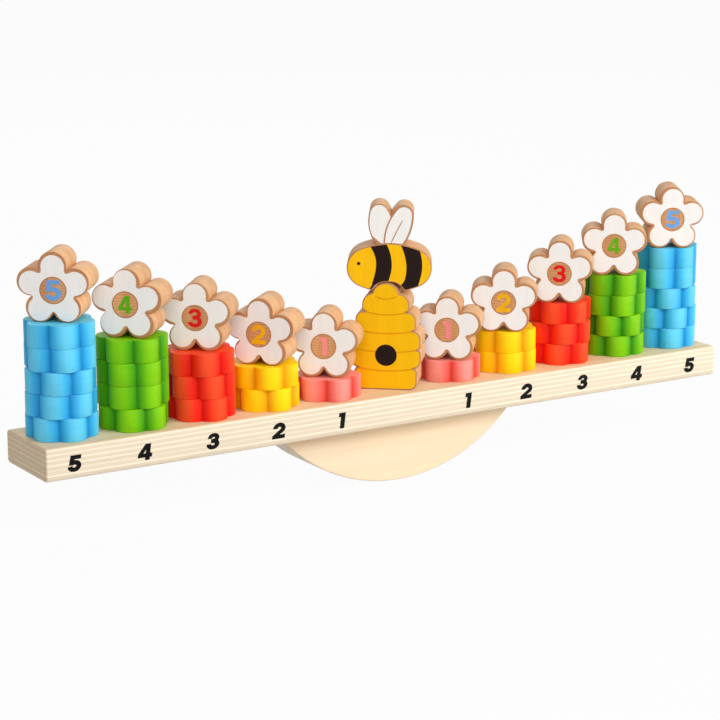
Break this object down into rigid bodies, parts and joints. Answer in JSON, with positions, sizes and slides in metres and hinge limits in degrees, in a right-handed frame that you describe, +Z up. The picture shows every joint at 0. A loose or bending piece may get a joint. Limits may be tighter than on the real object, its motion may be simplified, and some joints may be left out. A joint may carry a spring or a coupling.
{
  "type": "bee balance game",
  "caption": "Wooden balance and counting game: a long plywood beam on a half-moon rocker carries a hive, a bee and towers of flower counters topped with number flowers.",
  "frame": {"origin": "lowest line of the rocker's rim on the table, in the middle of the beam's length and depth", "axes": "+X along the beam to the right seen from the numbered front, +Y to the back, +Z up"},
  "size_m": [0.4512, 0.05, 0.1605],
  "materials": {
    "birch_plywood": "satin lacquer",
    "beech": "raw sanded",
    "hive_block": "printed face, oiled sides",
    "bee_block": "printed face, oiled sides",
    "flower_block": "printed face, oiled sides",
    "pink_paint": "satin paint",
    "yellow_paint": "satin paint",
    "red_paint": "satin paint",
    "green_paint": "satin paint",
    "blue_paint": "satin paint"
  },
  "bodies": {
    "base": {"beam": "birch_plywood", "rocker": "birch_plywood", "rocker_dowels": "beech"},
    "hive": {"hive": "hive_block"},
    "bee": {"bee": "bee_block"},
    "left_pink_counter_1": {"left_pink_counter_1": "pink_paint"},
    "left_number_flower_1": {"left_number_flower_1": "flower_block"},
    "left_yellow_counter_1": {"left_yellow_counter_1": "yellow_paint"},
    "left_yellow_counter_2": {"left_yellow_counter_2": "yellow_paint"},
    "left_number_flower_2": {"left_number_flower_2": "flower_block"},
    "left_red_counter_1": {"left_red_counter_1": "red_paint"},
    "left_red_counter_2": {"left_red_counter_2": "red_paint"},
    "left_red_counter_3": {"left_red_counter_3": "red_paint"},
    "left_number_flower_3": {"left_number_flower_3": "flower_block"},
    "left_green_counter_1": {"left_green_counter_1": "green_paint"},
    "left_green_counter_2": {"left_green_counter_2": "green_paint"},
    "left_green_counter_3": {"left_green_counter_3": "green_paint"},
    "left_green_counter_4": {"left_green_counter_4": "green_paint"},
    "left_number_flower_4": {"left_number_flower_4": "flower_block"},
    "left_blue_counter_1": {"left_blue_counter_1": "blue_paint"},
    "left_blue_counter_2": {"left_blue_counter_2": "blue_paint"},
    "left_blue_counter_3": {"left_blue_counter_3": "blue_paint"},
    "left_blue_counter_4": {"left_blue_counter_4": "blue_paint"},
    "left_blue_counter_5": {"left_blue_counter_5": "blue_paint"},
    "left_number_flower_5": {"left_number_flower_5": "flower_block"},
    "right_pink_counter_1": {"right_pink_counter_1": "pink_paint"},
    "right_number_flower_1": {"right_number_flower_1": "flower_block"},
    "right_yellow_counter_1": {"right_yellow_counter_1": "yellow_paint"},
    "right_yellow_counter_2": {"right_yellow_counter_2": "yellow_paint"},
    "right_number_flower_2": {"right_number_flower_2": "flower_block"},
    "right_red_counter_1": {"right_red_counter_1": "red_paint"},
    "right_red_counter_2": {"right_red_counter_2": "red_paint"},
    "right_red_counter_3": {"right_red_counter_3": "red_paint"},
    "right_number_flower_3": {"right_number_flower_3": "flower_block"},
    "right_green_counter_1": {"right_green_counter_1": "green_paint"},
    "right_green_counter_2": {"right_green_counter_2": "green_paint"},
    "right_green_counter_3": {"right_green_counter_3": "green_paint"},
    "right_green_counter_4": {"right_green_counter_4": "green_paint"},
    "right_number_flower_4": {"right_number_flower_4": "flower_block"},
    "right_blue_counter_1": {"right_blue_counter_1": "blue_paint"},
    "right_blue_counter_2": {"right_blue_counter_2": "blue_paint"},
    "right_blue_counter_3": {"right_blue_counter_3": "blue_paint"},
    "right_blue_counter_4": {"right_blue_counter_4": "blue_paint"},
    "right_blue_counter_5": {"right_blue_counter_5": "blue_paint"},
    "right_number_flower_5": {"right_number_flower_5": "flower_block"}
  },
  "joints": [
    {"name": "hive_lift", "type": "slide", "parent": "base", "child": "hive", "axis": [0, 0, 1], "range_m": [0, 0.015]},
    {"name": "bee_lift", "type": "slide", "parent": "hive", "child": "bee", "axis": [0, 0, 1], "range_m": [0, 0.015]},
    {"name": "left_pink_counter_1_lift", "type": "slide", "parent": "base", "child": "left_pink_counter_1", "axis": [0, 0, 1], "range_m": [0, 0.015]},
    {"name": "left_number_flower_1_lift", "type": "slide", "parent": "left_pink_counter_1", "child": "left_number_flower_1", "axis": [0, 0, 1], "range_m": [0, 0.015]},
    {"name": "left_yellow_counter_1_lift", "type": "slide", "parent": "base", "child": "left_yellow_counter_1", "axis": [0, 0, 1], "range_m": [0, 0.015]},
    {"name": "left_yellow_counter_2_lift", "type": "slide", "parent": "left_yellow_counter_1", "child": "left_yellow_counter_2", "axis": [0, 0, 1], "range_m": [0, 0.015]},
    {"name": "left_number_flower_2_lift", "type": "slide", "parent": "left_yellow_counter_2", "child": "left_number_flower_2", "axis": [0, 0, 1], "range_m": [0, 0.015]},
    {"name": "left_red_counter_1_lift", "type": "slide", "parent": "base", "child": "left_red_counter_1", "axis": [0, 0, 1], "range_m": [0, 0.015]},
    {"name": "left_red_counter_2_lift", "type": "slide", "parent": "left_red_counter_1", "child": "left_red_counter_2", "axis": [0, 0, 1], "range_m": [0, 0.015]},
    {"name": "left_red_counter_3_lift", "type": "slide", "parent": "left_red_counter_2", "child": "left_red_counter_3", "axis": [0, 0, 1], "range_m": [0, 0.015]},
    {"name": "left_number_flower_3_lift", "type": "slide", "parent": "left_red_counter_3", "child": "left_number_flower_3", "axis": [0, 0, 1], "range_m": [0, 0.015]},
    {"name": "left_green_counter_1_lift", "type": "slide", "parent": "base", "child": "left_green_counter_1", "axis": [0, 0, 1], "range_m": [0, 0.015]},
    {"name": "left_green_counter_2_lift", "type": "slide", "parent": "left_green_counter_1", "child": "left_green_counter_2", "axis": [0, 0, 1], "range_m": [0, 0.015]},
    {"name": "left_green_counter_3_lift", "type": "slide", "parent": "left_green_counter_2", "child": "left_green_counter_3", "axis": [0, 0, 1], "range_m": [0, 0.015]},
    {"name": "left_green_counter_4_lift", "type": "slide", "parent": "left_green_counter_3", "child": "left_green_counter_4", "axis": [0, 0, 1], "range_m": [0, 0.015]},
    {"name": "left_number_flower_4_lift", "type": "slide", "parent": "left_green_counter_4", "child": "left_number_flower_4", "axis": [0, 0, 1], "range_m": [0, 0.015]},
    {"name": "left_blue_counter_1_lift", "type": "slide", "parent": "base", "child": "left_blue_counter_1", "axis": [0, 0, 1], "range_m": [0, 0.015]},
    {"name": "left_blue_counter_2_lift", "type": "slide", "parent": "left_blue_counter_1", "child": "left_blue_counter_2", "axis": [0, 0, 1], "range_m": [0, 0.015]},
    {"name": "left_blue_counter_3_lift", "type": "slide", "parent": "left_blue_counter_2", "child": "left_blue_counter_3", "axis": [0, 0, 1], "range_m": [0, 0.015]},
    {"name": "left_blue_counter_4_lift", "type": "slide", "parent": "left_blue_counter_3", "child": "left_blue_counter_4", "axis": [0, 0, 1], "range_m": [0, 0.015]},
    {"name": "left_blue_counter_5_lift", "type": "slide", "parent": "left_blue_counter_4", "child": "left_blue_counter_5", "axis": [0, 0, 1], "range_m": [0, 0.015]},
    {"name": "left_number_flower_5_lift", "type": "slide", "parent": "left_blue_counter_5", "child": "left_number_flower_5", "axis": [0, 0, 1], "range_m": [0, 0.015]},
    {"name": "right_pink_counter_1_lift", "type": "slide", "parent": "base", "child": "right_pink_counter_1", "axis": [0, 0, 1], "range_m": [0, 0.015]},
    {"name": "right_number_flower_1_lift", "type": "slide", "parent": "right_pink_counter_1", "child": "right_number_flower_1", "axis": [0, 0, 1], "range_m": [0, 0.015]},
    {"name": "right_yellow_counter_1_lift", "type": "slide", "parent": "base", "child": "right_yellow_counter_1", "axis": [0, 0, 1], "range_m": [0, 0.015]},
    {"name": "right_yellow_counter_2_lift", "type": "slide", "parent": "right_yellow_counter_1", "child": "right_yellow_counter_2", "axis": [0, 0, 1], "range_m": [0, 0.015]},
    {"name": "right_number_flower_2_lift", "type": "slide", "parent": "right_yellow_counter_2", "child": "right_number_flower_2", "axis": [0, 0, 1], "range_m": [0, 0.015]},
    {"name": "right_red_counter_1_lift", "type": "slide", "parent": "base", "child": "right_red_counter_1", "axis": [0, 0, 1], "range_m": [0, 0.015]},
    {"name": "right_red_counter_2_lift", "type": "slide", "parent": "right_red_counter_1", "child": "right_red_counter_2", "axis": [0, 0, 1], "range_m": [0, 0.015]},
    {"name": "right_red_counter_3_lift", "type": "slide", "parent": "right_red_counter_2", "child": "right_red_counter_3", "axis": [0, 0, 1], "range_m": [0, 0.015]},
    {"name": "right_number_flower_3_lift", "type": "slide", "parent": "right_red_counter_3", "child": "right_number_flower_3", "axis": [0, 0, 1], "range_m": [0, 0.015]},
    {"name": "right_green_counter_1_lift", "type": "slide", "parent": "base", "child": "right_green_counter_1", "axis": [0, 0, 1], "range_m": [0, 0.015]},
    {"name": "right_green_counter_2_lift", "type": "slide", "parent": "right_green_counter_1", "child": "right_green_counter_2", "axis": [0, 0, 1], "range_m": [0, 0.015]},
    {"name": "right_green_counter_3_lift", "type": "slide", "parent": "right_green_counter_2", "child": "right_green_counter_3", "axis": [0, 0, 1], "range_m": [0, 0.015]},
    {"name": "right_green_counter_4_lift", "type": "slide", "parent": "right_green_counter_3", "child": "right_green_counter_4", "axis": [0, 0, 1], "range_m": [0, 0.015]},
    {"name": "right_number_flower_4_lift", "type": "slide", "parent": "right_green_counter_4", "child": "right_number_flower_4", "axis": [0, 0, 1], "range_m": [0, 0.015]},
    {"name": "right_blue_counter_1_lift", "type": "slide", "parent": "base", "child": "right_blue_counter_1", "axis": [0, 0, 1], "range_m": [0, 0.015]},
    {"name": "right_blue_counter_2_lift", "type": "slide", "parent": "right_blue_counter_1", "child": "right_blue_counter_2", "axis": [0, 0, 1], "range_m": [0, 0.015]},
    {"name": "right_blue_counter_3_lift", "type": "slide", "parent": "right_blue_counter_2", "child": "right_blue_counter_3", "axis": [0, 0, 1], "range_m": [0, 0.015]},
    {"name": "right_blue_counter_4_lift", "type": "slide", "parent": "right_blue_counter_3", "child": "right_blue_counter_4", "axis": [0, 0, 1], "range_m": [0, 0.015]},
    {"name": "right_blue_counter_5_lift", "type": "slide", "parent": "right_blue_counter_4", "child": "right_blue_counter_5", "axis": [0, 0, 1], "range_m": [0, 0.015]},
    {"name": "right_number_flower_5_lift", "type": "slide", "parent": "right_blue_counter_5", "child": "right_number_flower_5", "axis": [0, 0, 1], "range_m": [0, 0.015]}
  ]
}
